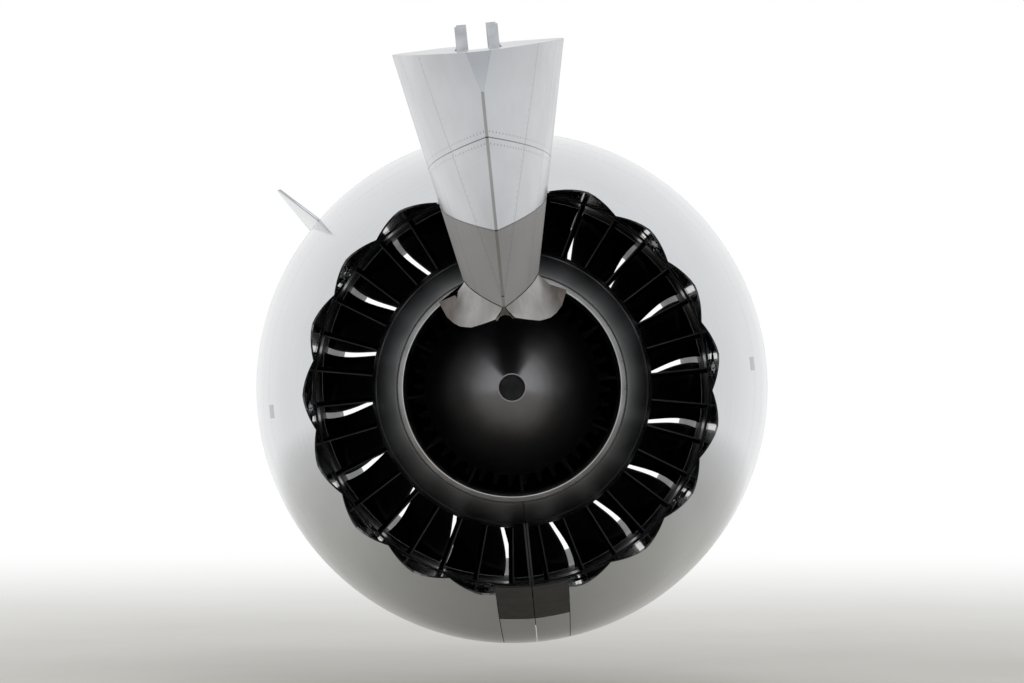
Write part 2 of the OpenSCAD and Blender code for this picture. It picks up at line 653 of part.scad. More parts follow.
step_s = 4500;
wall_end = 4900;
function cowl_r(s) = core_out(s) - (s > step_s + 1 ? 8 : 0);
core_skin = concat(run(reverser_s + seam, step_s, 7), run(step_s + 4, core_end_s, 7));
module core_cowl_right() color(grey) {
    right_half([concat(
        [for (s = core_skin) [s, cowl_r(s)]], [for (s = back(core_skin)) [s, cowl_r(s) - 20]]
    )], hinge_beam_x, seam / 2);
    for (up = [true, false]) {
        ends = up ? [for (s = skin_stations) if (s < wall_end) s] : run(reverser_s + seam, strip_end, 8);
        x = up ? hinge_beam_x : seam / 2;
        slice(concat(
            [for (s = ends) [s, cowl_r(s) - 10]], [for (s = back(ends)) [s, duct_out(s) - rest_gap * 2]]
        ), x, x + 12, up);
    }
}
module core_cowl_left() left() core_cowl_right();

// Translating sleeves

door_start = reverser_s + 145;
recess_end = door_start + door_len + 8;
cavity_end = 4200;
recess_r = duct_r + door_t + 6;
chevron_top = 73;
chevron_bottom = -86;
module chevron_cuts() {
    pitch = (chevron_top - chevron_bottom) / chevron_count;
    for (i = [0:chevron_count - 1])
        placed() rotate([0, -(chevron_bottom + pitch * (i + 0.5)), 0]) rotate([0, 90, 0]) linear_extrude(height = 1600)
            polygon(concat(
                [for (u = [-1:0.2:1.01]) [
                    (tip_r + 40) * tan(pitch / 2) * u,
                    -tip_s + chevron_len * (1 - pow(abs(u), 1.5))
                ]],
                [[(tip_r + 40) * tan(pitch / 2), -tip_s - 60], [-(tip_r + 40) * tan(pitch / 2), -tip_s - 60]]
            ));
}
module sleeve_right() color(silver) {
    sleeve_shell();
    door_brackets();
}
module sleeve_shell() difference() {
    skin = run(reverser_s + 2 * seam, tip_s, 16);
    duct = run(recess_end, tip_s, 8);
    roof = run(reverser_s + 2 * seam, cavity_end, 6);
    right_half([concat(
        [for (s = skin) [s, out_r(s)]],
        [for (s = back(duct)) [s, duct_out(s)]],
        [[recess_end, recess_r], [door_start - 8, recess_r], [door_start - 8, duct_r + 2],
            [reverser_s + 95, duct_r + 2], [reverser_s + 95, recess_r + 10], [cavity_end, recess_r + 10]],
        [for (s = back(roof)) [s, out_r(s) - skin_t]]
    )], sleeve_top, sleeve_bottom);
    chevron_cuts();
}
module sleeve_left() left() sleeve_right();

// Blocker doors, hinged at their front corners on the sleeve
door_half = 19;
door_pitch = 39.5;
door_hinge_r = (duct_r + 2) * cos(door_half) - 8;
module blocker(i) color(grey) placed() rotate([0, 90 - door_pitch * (i - 2.5), 0]) {
    wide = (duct_r + 2) * sin(door_half);
    narrow = wide - 146;
    intersection() {
        rotate([90, 0, 0]) rotate_extrude(angle = 50, start = 65, $fn = 360)
            translate([duct_r + 2, door_start]) square([door_t, door_len]);
        linear_extrude(height = 1600) polygon([
            [-wide, -door_start], [wide, -door_start],
            [narrow, -door_start - door_len], [-narrow, -door_start - door_len]
        ]);
    }
    for (m = [-1, 1])
        difference() {
            translate([m * (wide - 30) - 12, -door_start - 24, door_hinge_r - 10])
                cube([24, 24, sqrt(pow(duct_r + door_t, 2) - pow(wide - 18, 2)) - door_hinge_r + 10]);
            translate([m * (wide - 30) - 20, -door_axis_s, door_hinge_r]) rotate([0, 90, 0])
                cylinder(r = door_pin_r + bearing_gap, h = 40, $fn = 32);
        }
}

module blocker_left_1() left() blocker(1);
module blocker_left_2() left() blocker(2);
module blocker_left_3() left() blocker(3);
module blocker_left_4() left() blocker(4);
module blocker_right_1() blocker(1);
module blocker_right_2() blocker(2);
module blocker_right_3() blocker(3);
module blocker_right_4() blocker(4);

// Reverser hinges on a level line: the sleeve clears the pylon when it is slid aft and swung out
rev_hinge_x = 236;
rev_hinge_line = nacelle_r - 63;
knuckle_r = sleeve_top - rev_hinge_x - rest_gap;
rev_hinge_stations = [2760, 3160, 3560];
// Cylinder on the hinge line, its middle at station s, from a to b along the line
module hinge_rod(s, a, b, r) placed() translate([rev_hinge_x, -s, rev_hinge_line])
    rotate([90, 0, 0]) translate([0, 0, a]) cylinder(r = r, h = b - a, $fn = 48);

// Pins and brackets that carry the blocker doors on the front edge of the sleeve
door_axis_s = door_start + 12;
door_pin_r = 5;
module door_brackets() {
    wide = (duct_r + 2) * sin(door_half);
    for (i = [1:4], m = [0, 1])
        placed() rotate([0, 90 - door_pitch * (i - 2.5), 0]) mirror([m, 0, 0]) {
            translate([wide - 17.7, -door_axis_s, door_hinge_r - 8])
                cube([11, door_axis_s - reverser_s - 96, 16]);
            translate([wide - 17.7, -door_start + 12, door_hinge_r - 8])
                cube([11, door_start - reverser_s - 108, 28]);
            translate([wide - 44, -door_axis_s, door_hinge_r]) rotate([0, 90, 0])
                cylinder(r = door_pin_r, h = 34, $fn = 32);
            translate([wide - 17.7, -door_axis_s, door_hinge_r]) rotate([0, 90, 0])
                cylinder(r = 8, h = 11, $fn = 32);
        }
}

// Accessories under the fan case
module on_case() difference() {
    children();
    rev([[1700, 0], [1700, case_r + rest_gap], [2700, case_r + rest_gap], [2700, 0]]);
}
gear_s = 2200;
gear_x = 240;
gear_z = -case_r - 120;
gear_face = gear_s - 30;
module accessory_gearbox() color(grey) difference() {
    union() {
        on_case() block(gear_s, gear_s + 300, -420, 420, gear_z - 80, gear_z + 230);
        for (x = [-gear_x, gear_x])
            rod(gear_face, gear_s, 95, x, gear_z);
    }
    for (x = [-gear_x, gear_x])
        rod(gear_face - 10, gear_s + 30, drive_r + bearing_gap, x, gear_z);
}
drive_r = 30;
module starter() color(bare) {
    rod(gear_face - 210, gear_face - rest_gap, 90, -gear_x, gear_z);
    rod(gear_face - 30, gear_s + 20, drive_r, -gear_x, gear_z);
}
module generator() color(dark) {
    rod(gear_face - 240, gear_face - rest_gap, 92, gear_x, gear_z);
    rod(gear_face - 30, gear_s + 20, drive_r, gear_x, gear_z);
    rod(gear_face - 270, gear_face - 240, 60, gear_x, gear_z);
}
module oil_tank() color(bare) on_case() placed() rotate([0, -10, 0])
    translate([case_r - 60, -2480, -230]) cube([300, 240, 460]);

// Mounts between the engine and the beam
beam_bottom = 980;
beam_start = 2700;
beam_end = 7700;
beam_tail_z = 1250;
module side(points, x0, x1) placed() translate([x0, 0, 0]) rotate([90, 0, 90])
    linear_extrude(height = x1 - x0) polygon([for (q = points) [-q[0], q[1]]]);
module front_mount() color(steel) difference() {
    side([[case_s + 2, 480], [case_s + 2, 700], [case_s + 8, 720], [case_s + 8, 930], [beam_start - rest_gap, beam_bottom + 120],
        [beam_start - rest_gap, 480]], -110, 110);
    rev([[2600, 0], [2600, 500 + rest_gap], [2750, 500 + rest_gap], [2750, 0]]);
}
module rear_mount() color(steel) difference() {
    side([[5380, 640], [5330, beam_bottom - rest_gap], [5560, beam_bottom - rest_gap], [5480, 640]], -90, 90);
    rev([
        [5000, 0], [5000, 705], [rear_s + 16, 705], [rear_s + 16, 656 + rest_gap],
        [rear_end + 30, 656 + rest_gap], [rear_end + 30, 0]
    ]);
}

// Pylon
function wing_line(s) = wing_z - wing_slope * (s - lug_s);
beam_roof = [
    [beam_start, 1480], [3700, 1480], [4700, beam_top - 60], [lug_s - 500, beam_top],
    [beam_end, wing_line(beam_end) - 60]
];
beam_floor = [[beam_start, beam_bottom], [5700, beam_bottom], [6200, beam_bottom + 60], [beam_end, beam_tail_z]];
beam_ribs = [beam_start, 3700, 4700, lug_s - 500, 5700, 6200, 6950, beam_end];
beam_wall = 14;
module pylon_beam() color(titanium) difference() {
    side(concat(beam_roof, back(beam_floor)), -beam_hw, beam_hw);
    for (i = [0:len(beam_ribs) - 2]) {
        a = beam_ribs[i] + beam_wall / 2 + (i == 0 ? beam_wall : 0);
        b = beam_ribs[i + 1] - beam_wall / 2 - (i == len(beam_ribs) - 2 ? beam_wall : 0);
        side([
            [a, lookup(a, beam_floor) + beam_wall], [a, lookup(a, beam_roof) - beam_wall],
            [b, lookup(b, beam_roof) - beam_wall], [b, lookup(b, beam_floor) + beam_wall]
        ], -beam_hw + beam_wall, beam_hw - beam_wall);
    }
}
module wing_lugs() color(steel) difference() {
    for (s = [lug_s, lug_s + lug_pitch], x = [-beam_hw + 10, beam_hw - 10 - lug_t])
        side([
            [s - 130, lookup(s - 130, beam_roof) + rest_gap], [s - 60, pin_z - wing_slope * (s - lug_s) + 70],
            [s + 60, pin_z - wing_slope * (s - lug_s) + 70], [s + 130, lookup(s + 130, beam_roof) + rest_gap]
        ], x, x + lug_t);
    for (s = [lug_s, lug_s + lug_pitch])
        placed() translate([-300, -s, pin_z - wing_slope * (s - lug_s)]) rotate([0, 90, 0])
            cylinder(r = lug_bore_r, h = 600, $fn = 64);
}

// Height of the fairings' top
function crest_top(s) = out_r(cowl_s) - 8
    + (wing_z - out_r(cowl_s) + 8) * pow(max(0, s - cowl_s) / (lug_s - cowl_s), 1.1);
function pylon_top(s) = s < lug_s ? crest_top(s) : wing_line(s);
// Half width of the pylon at a station and height
tail_low = [7650, 440];
tail_rake = 0.9;
function tail_s(z) = tail_low[0] + (z - tail_low[1]) * tail_rake;
function pylon_wide(z) = 310 + 0.21 * (z - 1070);
function swell(s) = s < 6500 ? (1 - cos(180 * max(0, s - 5600) / 900)) / 2 : 1;
function taper(s, z) = s < 6500 ? 1 : max(0, 1 - pow((s - 6500) / (tail_s(z) - 6500), 1.7));
function pylon_hw(s, z) = s < 6500
    ? crest_hw + (pylon_wide(z) - crest_hw) * swell(s)
    : 8 + (pylon_wide(z) - 8) * taper(s, z);
function pylon_low(s) = s < 5100 ? 1420
    : s < tail_low[0] ? lookup(s, [[5100, 825], [6200, 704], [nozzle_s + 20, nozzle_r + 9], tail_low])
    : tail_low[1] + (s - tail_low[0]) / tail_rake;
pylon_stations = [
    4000, 4500, 4900, 5099, 5101, 5400, 5700, 6000, 6300, 6600, 6900, 7200, 7450, 7650, 7900, 8150, 8400, 8620
];
heights = [0, 0.12, 0.27, 0.45, 0.62, 0.8, 1];
function pylon_ring(s, inset = 0) = let (
        a = pylon_low(s) + inset, b = pylon_top(s) - inset,
        edge = [for (t = heights) let (z = a + (b - a) * t) [max(1, pylon_hw(s, z) - inset), z]]
    ) concat([for (q = edge) [q[0], -s, q[1]]], [for (q = back(edge)) [-q[0], -s, q[1]]]);
fairing_t = 12;
module pylon_aft_fairing() color(silver) difference() {
    loft([for (s = pylon_stations) pylon_ring(s)]);
    loft([for (s = pylon_stations) if (s < 8300) pylon_ring(s + (s == 5101 ? fairing_t : s == 5099 ? -fairing_t
        : s == 4000 ? fairing_t : 0), fairing_t)]);
    side([
        [3900, 1300], [3900, beam_top - 300], [4700, beam_top - 50], [lug_s - 500, beam_top + 200],
        [beam_end + 20, beam_top + 200], [beam_end + 20, beam_tail_z - 30], [6200, beam_bottom + 20],
        [5620, beam_bottom - 20], [5620, 600], [5060, 600], [5060, 1300]
    ], -beam_hw - rest_gap, beam_hw + rest_gap);
}
// Fairing over the crest of the nacelle, from the fan cowls back to the aft fairing
crest_end = 3980;
function crest_low(s) = min(out_r(s) - 45, nacelle_r - 65);
function crest_ring(s) = let (a = crest_low(s), b = crest_top(s), w = crest_hw, e = out_r(s) - 20) [
    [w - 4, -s, a], [w, -s, e - 10], [w, -s, e * 0.35 + b * 0.65], [w * 0.86, -s, e * 0.1 + b * 0.9],
    [w * 0.5, -s, b], [-w * 0.5, -s, b], [-w * 0.86, -s, e * 0.1 + b * 0.9],
    [-w, -s, e * 0.35 + b * 0.65], [-w, -s, e - 10], [-w + 4, -s, a]
];
module pylon_front_fairing() color(silver) {
    difference() {
        loft([for (s = run(cowl_s + seam, crest_end, 14)) crest_ring(s)]);
        side([[3500, 1300], [3500, 1560], [crest_end + 30, beam_top - 180], [crest_end + 30, 1300]],
            -beam_hw - 12, beam_hw + 12);
    }
    for (m = [0, 1], s = rev_hinge_stations)
        mirror([m, 0, 0]) {
            hinge_rod(s, -36, 36, hinge_r);
            for (a = [-36, 24])
                hinge_rod(s, a, a + 12, knuckle_r);
            for (a = [-36, 24])
                block(s + a, s + a + 12, crest_hw - 10, rev_hinge_x,
                    rev_hinge_line - 10, rev_hinge_line + 10);
        }
}

// Heat shield under the aft fairing: its lower edges drop in a lobe each side of a shallow channel
shield_s = 6660;
shield_end = 7640;
shield_edge_hw = [[shield_s, 369], [6760, 333], [6930, 275], [7190, 197], [7400, 129], [shield_end, 55]];
shield_edge_z = [[shield_s, 519], [6760, 432], [6930, 368], [7190, 346], [7400, 354], [shield_end, 367]];
function shield_ring(s) = let (
        top = pylon_low(s) - 5, hw = pylon_hw(s, pylon_low(s)), lw = lookup(s, shield_edge_hw),
        z = lookup(s, shield_edge_z), mid = z + 30 + 20 * (shield_end - s) / (shield_end - shield_s),
        edge = [
            [hw, -s, top], [hw * 0.6 + lw * 0.4, -s, (top + z) / 2 - 6], [lw, -s, z + 9], [lw - 12, -s, z],
            [lw * 0.5, -s, mid - 8]
        ]
    ) concat([[0, -s, pylon_low(s) - 1]], edge, [[0, -s, mid]], [for (q = back(edge)) [-q[0], q[1], q[2]]]);
module heat_shield() color(titanium) loft([for (s = run(shield_end, shield_s, 9)) shield_ring(s)]);

inlet_lip();
inlet_outer_barrel();
inlet_inner_barrel();
fan_case();
outlet_guide_vanes();
fan_frame();
core_fairing();
compressor_case();
combustor_case();
fuel_manifold();
turbine_case();
turbine_rear_frame();
core_nozzle();
exhaust_plug();
bearing_housings();
accessory_gearbox();
starter();
generator();
oil_tank();
front_mount();
rear_mount();
spinner();
fan_disc();
fan_blades();
booster();
low_pressure_shaft();
low_pressure_turbine();
high_pressure_compressor();
high_pressure_turbine();
fan_cowl_left();
fan_cowl_right();
cowl_hinges();
cowl_latch_front();
cowl_latch_aft();
oil_door();
strake();
keel_fairing_left();
keel_fairing_right();
reverser_left();
reverser_right();
cascades_left();
cascades_right();
core_cowl_left();
core_cowl_right();
sleeve_left();
sleeve_right();
blocker_left_1();
blocker_left_2();
blocker_left_3();
blocker_left_4();
blocker_right_1();
blocker_right_2();
blocker_right_3();
blocker_right_4();
pylon_beam();
pylon_front_fairing();
pylon_aft_fairing();
heat_shield();
wing_lugs();
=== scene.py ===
import json
import math

import bmesh
import bpy
from mathutils import Matrix, Vector

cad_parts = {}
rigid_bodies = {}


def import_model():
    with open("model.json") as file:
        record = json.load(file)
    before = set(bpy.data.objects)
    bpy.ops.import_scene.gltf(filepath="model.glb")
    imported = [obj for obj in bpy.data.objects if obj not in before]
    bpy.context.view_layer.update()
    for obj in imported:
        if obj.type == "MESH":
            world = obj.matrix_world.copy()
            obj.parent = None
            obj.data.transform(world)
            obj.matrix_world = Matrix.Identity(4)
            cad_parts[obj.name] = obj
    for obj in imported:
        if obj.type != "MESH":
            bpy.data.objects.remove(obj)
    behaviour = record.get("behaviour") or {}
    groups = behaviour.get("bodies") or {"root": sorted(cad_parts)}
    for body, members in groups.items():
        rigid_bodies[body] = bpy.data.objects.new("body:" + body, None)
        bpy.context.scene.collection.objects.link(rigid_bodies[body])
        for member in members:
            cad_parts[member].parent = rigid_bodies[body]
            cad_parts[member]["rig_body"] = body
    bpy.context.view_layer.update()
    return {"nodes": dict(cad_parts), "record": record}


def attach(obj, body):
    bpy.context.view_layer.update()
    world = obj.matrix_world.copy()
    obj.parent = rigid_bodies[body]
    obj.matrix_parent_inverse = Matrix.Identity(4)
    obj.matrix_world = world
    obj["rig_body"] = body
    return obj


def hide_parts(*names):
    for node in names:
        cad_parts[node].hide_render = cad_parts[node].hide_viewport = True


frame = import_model()

# The engine's own numbers, in metres. Stations run aft from the inlet's front edge.
PIN_STATION = 5.6
AXIS_Z = -2.15
NACELLE_R = 1.825


def at(station, x=0.0, height=0.0):
    """Point at a station, with x and height measured from the engine's axis."""
    return Vector((x, PIN_STATION - station, AXIS_Z + height))


# Camera

# The photograph is taken from straight behind, with the engine rolled on its wing.
CAMERA_BEHIND = 22.0
WIDEST_STATION = 2.3
PHOTO_ROLL = math.radians(5.7)
camera_data = bpy.data.cameras.new("camera")
camera_data.sensor_width = 36
camera_data.lens = 108
camera_data.shift_y = 0.045
camera = bpy.data.objects.new("camera", camera_data)
bpy.context.scene.collection.objects.link(camera)
camera.matrix_world = (
    Matrix.Translation(at(WIDEST_STATION + CAMERA_BEHIND))
    @ Matrix.Rotation(PHOTO_ROLL, 4, "Y")
    @ Matrix.Rotation(math.radians(90), 4, "X")
)
bpy.context.scene.camera = camera


# Materials

def linear(hex_colour):
    """An sRGB hex colour as the linear values that a shader takes."""
    parts = [int(hex_colour[i:i + 2], 16) / 255 for i in (1, 3, 5)]
    return [p / 12.92 if p <= 0.04045 else ((p + 0.055) / 1.055) ** 2.4 for p in parts] + [1]


def node(tree, kind, settings=None, **inputs):
    """Adds one node; an input is a value, or a socket to link from.

    An input is named _0 for its number, or by its name with __ for a space.
    """
    made = tree.nodes.new(kind)
    for name, value in (settings or {}).items():
        setattr(made, name, value)
    for name, value in inputs.items():
        key = int(name[1:]) if name[0] == "_" else name.replace("__", " ")
        socket = made.inputs[key]
        if isinstance(value, bpy.types.NodeSocket):
            tree.links.new(value, socket)
        else:
            socket.default_value = value
    return made


def new_material(name):
    material = bpy.data.materials.new(name)
    material.use_nodes = True
    material.node_tree.nodes.clear()
    return material, material.node_tree


def put_out(tree, shader):
    out = tree.nodes.new("ShaderNodeOutputMaterial")
    tree.links.new(shader, out.inputs["Surface"])


def ramp(tree, factor, low, high):
    """A colour that runs from low to high over the middle of the factor's span."""
    made = node(tree, "ShaderNodeValToRGB", Fac=factor)
    for element, place, colour in zip(made.color_ramp.elements, (0.3, 0.7), (low, high)):
        element.position = place
        element.color = linear(colour)
    return made.outputs["Color"]


def object_place(tree):
    return node(tree, "ShaderNodeTexCoord").outputs["Object"]


def noise(tree, scale, detail, stretch=(1, 1, 1)):
    """Noise on object coordinates; scale is cycles to the metre."""
    mapped = node(
        tree, "ShaderNodeMapping", Vector=object_place(tree), Scale=stretch
    ).outputs["Vector"]
    return node(
        tree, "ShaderNodeTexNoise", Vector=mapped, Scale=scale, Detail=detail
    ).outputs["Fac"]


def map_range(tree, value, low, high):
    """A value between 0 and 1 carried to between low and high."""
    return node(tree, "ShaderNodeMapRange", Value=value, To__Min=low, To__Max=high).outputs[0]


def bump(tree, height, distance, strength=0.4):
    return node(
        tree, "ShaderNodeBump", Height=height, Distance=distance, Strength=strength
    ).outputs["Normal"]


def math_node(tree, operation, a, b=0.0):
    return node(tree, "ShaderNodeMath", {"operation": operation}, _0=a, _1=b).outputs[0]


def surface_place(tree):
    """Station in metres, angle from the top in radians, and height over the engine's axis."""
    parts = node(tree, "ShaderNodeSeparateXYZ", Vector=object_place(tree)).outputs
    station = math_node(tree, "SUBTRACT", PIN_STATION, parts["Y"])
    height = math_node(tree, "SUBTRACT", parts["Z"], AXIS_Z)
    return station, math_node(tree, "ARCTAN2", parts["X"], height), height


def band(tree, value, middle, half):
    """1 where a value is within half of the middle, otherwise 0."""
    return node(
        tree, "ShaderNodeMath", {"operation": "COMPARE"}, _0=value, _1=middle, _2=half
    ).outputs[0]


def most(tree, masks):
    """The greatest of several masks."""
    total = masks[0]
    for mask in masks[1:]:
        total = math_node(tree, "MAXIMUM", total, mask)
    return total


def fastener_row(tree, across, row, along, pitch, half):
    """Fastener heads along a row.

    across is the value that stays at row, and along is the one that runs. pitch is the spacing
    in along's own unit and in metres, and half is half a head's width in metres.
    """
    phase = math_node(tree, "FRACT", math_node(tree, "MULTIPLY", along, 1 / pitch[0]))
    heads = band(tree, phase, 0.5, half / pitch[1])
    return math_node(tree, "MULTIPLY", band(tree, across, row, half), heads)


def mixed_colour(tree, factor, under, over):
    return node(
        tree, "ShaderNodeMix", {"data_type": "RGBA"}, _0=factor, _6=under, _7=over
    ).outputs[2]


GRAIN_CYCLES = 60.0


def finish(name, low, high, metallic, roughness, spread, scale, stretch=(1, 1, 1), coat=0.0,
           bump_mm=0.0, lines=None, line_colour="#000000", shine=0.5):
    """A finish whose colour and roughness wander between two values at a real scale."""
    material, tree = new_material(name)
    patch = noise(tree, scale, 4, stretch)
    colour = ramp(tree, patch, low, high)
    rough = map_range(
        tree, noise(tree, scale * 3, 3, stretch), roughness - spread, roughness + spread
    )
    if lines:
        colour = mixed_colour(tree, lines(tree), colour, linear(line_colour))
    inputs = {
        "Base__Color": colour, "Metallic": metallic, "Roughness": rough,
        "Specular__IOR__Level": shine,
    }
    if coat:
        inputs["Coat__Weight"] = coat
        inputs["Coat__Roughness"] = 0.06
    if bump_mm:
        inputs["Normal"] = bump(tree, noise(tree, GRAIN_CYCLES, 2, stretch), bump_mm / 1000)
    shader = node(tree, "ShaderNodeBsdfPrincipled", **inputs)
    put_out(tree, shader.outputs[0])
    return material


def outward(tree):
    """1 where the surface faces away from the engine's axis, 0 where it faces the axis."""
    geometry = node(tree, "ShaderNodeNewGeometry")
    centred = node(
        tree, "ShaderNodeVectorMath", {"operation": "SUBTRACT"},
        _0=object_place(tree), _1=(0, 0, AXIS_Z)
    ).outputs[0]
    flat = node(
        tree, "ShaderNodeVectorMath", {"operation": "MULTIPLY"}, _0=centred, _1=(1, 0, 1)
    ).outputs[0]
    dot = node(
        tree, "ShaderNodeVectorMath", {"operation": "DOT_PRODUCT"},
        _0=flat, _1=geometry.outputs["Normal"]
    ).outputs["Value"]
    return math_node(tree, "GREATER_THAN", dot, 0.0)


def two_sided(name, outside, inside, lines):
    """Paint outside and another finish inside, on one skin; the lines are drawn on the paint.

    Each side is (low, high, metallic, roughness, coat).
    """
    material, tree = new_material(name)
    shaders = []
    for side in (inside, outside):
        low, high, metallic, roughness, coat = side
        colour = ramp(tree, noise(tree, 0.8, 4), low, high)
        if side is outside:
            colour = mixed_colour(tree, lines(tree), colour, linear("#060607"))
        rough = map_range(tree, noise(tree, 3, 4), roughness * 0.8, roughness * 1.25)
        shaders.append(node(
            tree, "ShaderNodeBsdfPrincipled", Base__Color=colour, Metallic=metallic,
            Roughness=rough, Coat__Weight=coat, Coat__Roughness=0.05
        ).outputs[0])
    mixed = node(tree, "ShaderNodeMixShader", Fac=outward(tree), _1=shaders[0], _2=shaders[1])
    put_out(tree, mixed.outputs[0])
    return material


# Fastener pitches: in radians round the nacelle or in metres, with the metres they come to.
NACELLE_PITCH = (0.0333, 0.06)
COWL_PITCH = (0.07, 0.06)
STRAIGHT_PITCH = (0.06, 0.06)

# Stations of the nacelle's butt joints and fastener rows, and the inlet's lengthwise splices.
NACELLE_JOINTS = (0.78, 3.24, 3.6)
NACELLE_ROWS = (0.36, 0.75, 0.81, 1.22, 1.28, 2.61, 2.7, 3.21, 3.27, 3.57, 3.63)
SPLICE_ANGLES = (-2.3, -0.8, 0.8, 2.3)
INLET_END = 1.25
# The small dark vents, one on each sleeve.
VENT_ANGLES = (1.5708, -1.5708)
VENT_STATION = 3.68
VENT_HALF_ANGLE = 0.028
VENT_HALF_LENGTH = 0.1
# The core cowl's doubler edges, drawn light as a painted highlight where the steps catch the
# light, and its fastener rows.
COWL_EDGE_HIGHLIGHTS = (4.62, 6.1, 6.15)
COWL_ROWS = (4.7, 5.4, 6.04)


def nacelle_lines(tree):
    """Butt joints 4 mm wide, and flush fasteners drawn 8 mm across so that they show."""
    station, angle, _ = surface_place(tree)
    joints = [band(tree, station, s, 0.002) for s in NACELLE_JOINTS]
    on_inlet = math_node(tree, "LESS_THAN", station, INLET_END)
    splice = most(tree, [band(tree, angle, a, 0.0012) for a in SPLICE_ANGLES])
    joints.append(math_node(tree, "MULTIPLY", splice, on_inlet))
    rows = [fastener_row(tree, station, s, angle, NACELLE_PITCH, 0.004) for s in NACELLE_ROWS]
    vents = [
        math_node(
            tree, "MULTIPLY", band(tree, angle, a, VENT_HALF_ANGLE),
            band(tree, station, VENT_STATION, VENT_HALF_LENGTH)
        )
        for a in VENT_ANGLES
    ]
    return most(tree, joints + vents + rows)


def core_cowl_edge_highlights_and_fasteners(tree):
    """Painted highlights along the edges of the cowl's doublers, and the cowl's fastener rows."""
    station, angle, _ = surface_place(tree)
    # Light lines at the doubler steps are painted highlight.
    edges = [band(tree, station, s, 0.006) for s in COWL_EDGE_HIGHLIGHTS]
    rows = [fastener_row(tree, station, s, angle, COWL_PITCH, 0.004) for s in COWL_ROWS]
    return most(tree, edges + rows)


# Just inside the vent's own radius.
VENT_BORE_R = 0.0725


def vent_bore(tree):
    """The inside of the vent's bore in the plug's end, which is drawn near black."""
    centred = node(
        tree, "ShaderNodeMapping", Vector=object_place(tree), Location=(0, 0, -AXIS_Z),
        Scale=(1, 0, 1)
    ).outputs["Vector"]
    radius = node(
        tree, "ShaderNodeVectorMath", {"operation": "LENGTH"}, _0=centred
    ).outputs["Value"]
    return math_node(tree, "LESS_THAN", radius, VENT_BORE_R)


# Panel joints of the pylon's fairings, by station and by height, and their fastener rows.
PYLON_JOINTS = (2.9, 3.3, 4.5, 5.3, 5.9, 6.5, 7.1, 7.7)
PYLON_SEAMS = (1.3, 1.95)
PYLON_ROWS = (4.53, 5.33, 5.93, 6.53, 7.13, 7.73)
PYLON_SEAM_ROWS = (1.27, 1.33, 1.92, 1.98)


def pylon_lines(tree):
    """Panel joints across and along the fairings, with fasteners beside them."""
    station, _, height = surface_place(tree)
    joints = [band(tree, station, s, 0.003) for s in PYLON_JOINTS]
    joints += [band(tree, height, h, 0.003) for h in PYLON_SEAMS]
    rows = [fastener_row(tree, station, s, height, NACELLE_PITCH, 0.005) for s in PYLON_ROWS]
    rows += [
        fastener_row(tree, height, h, station, STRAIGHT_PITCH, 0.005) for h in PYLON_SEAM_ROWS
    ]
    return most(tree, joints + rows)


# Each is (low, high, metallic, roughness, coat).
# Silver mica paint, lacquered and polished: it mirrors the ground and the sky.
PAINT = ("#a6aaae", "#b6babe", 0.9, 0.13, 0.3)
# Black sealed perforate of the ducts.
LINING = ("#08090a", "#111315", 0.0, 0.2, 0.6)
# Grey primer inside the cowl doors, matt.
PRIMER = ("#676b66", "#777b75", 0.0, 0.55, 0.0)

nacelle_paint = finish("silver_mica_paint", *PAINT[:4], 0.03, 0.8, coat=PAINT[4])
nacelle_skin = two_sided("silver_paint_over_acoustic_lining", PAINT, LINING, nacelle_lines)
cowl_skin = two_sided("silver_paint_over_primed_composite", PAINT, PRIMER, nacelle_lines)
# Spun aluminium, polished: nearly a mirror.
polished_lip = finish("polished_aluminium", "#d6d8da", "#e2e4e6", 1.0, 0.1, 0.03, 2.0)
# The same lining on parts that show it alone: black, sealed and shiny.
duct_lining = finish("gloss_black_acoustic_lining", *LINING[:4], 0.05, 1.5, coat=0.5)
# Rubbed lining round the fan, matt.
fan_lining = finish(
    "matt_abradable_lining", "#0a0a0b", "#151516", 0.0, 0.7, 0.08, 4.0, bump_mm=0.3, shine=0.2
)
# Perforated lining of the inlet, satin grey.
inlet_lining = finish(
    "grey_perforated_lining", "#4a4d50", "#595c60", 0.3, 0.42, 0.06, 3.0, bump_mm=0.3
)
# Moulded carbon composite under clear coat: black with a soft gloss.
blade_carbon = finish(
    "clear_coated_carbon_composite", "#0c0d0f", "#17181b", 0.0, 0.22, 0.05, 6.0, coat=0.6
)
# Etched aluminium vanes: a dull grey sheen.
vane_metal = finish("satin_aluminium_vane", "#2a2c2f", "#3c3e41", 0.8, 0.3, 0.05, 5.0)
# Heat-resistant grey paint, streaked along the flow, with painted highlights on the doubler edges
# and light fastener heads.
core_paint = finish(
    "heat_darkened_cowl_paint", "#1b1c1e", "#303234", 0.4, 0.33, 0.08, 2.2, (1, 0.1, 1),
    bump_mm=0.3, lines=core_cowl_edge_highlights_and_fasteners, line_colour="#777a7d",
)
# Bare nickel alloy, dulled to satin by heat.
nozzle_metal = finish(
    "bare_nickel_alloy", "#9a9a9b", "#b4b3b2", 1.0, 0.3, 0.07, 2.0, (1, 0.2, 1)
)
# Nickel alloy with a grey oxide from the exhaust, satin.
plug_metal = finish(
    "oxidised_nickel_alloy", "#66666a", "#7e7d7e", 1.0, 0.33, 0.05, 2.5, (1, 0.2, 1),
    lines=vent_bore, line_colour="#020202",
)
# Turbine parts burnt matt by the gas, and darkened to near black as painted shade deep in the
# exhaust.
burnt_and_shaded_metal = finish(
    "burnt_turbine_alloy_with_painted_shade", "#0c0b0a", "#191715", 0.3, 0.6, 0.1, 12.0, bump_mm=0.3
)
# Turned and ground steel fittings: a plain grey sheen.
steel = finish("machined_steel", "#7d7f82", "#96989b", 1.0, 0.35, 0.08, 12.0, bump_mm=0.2)
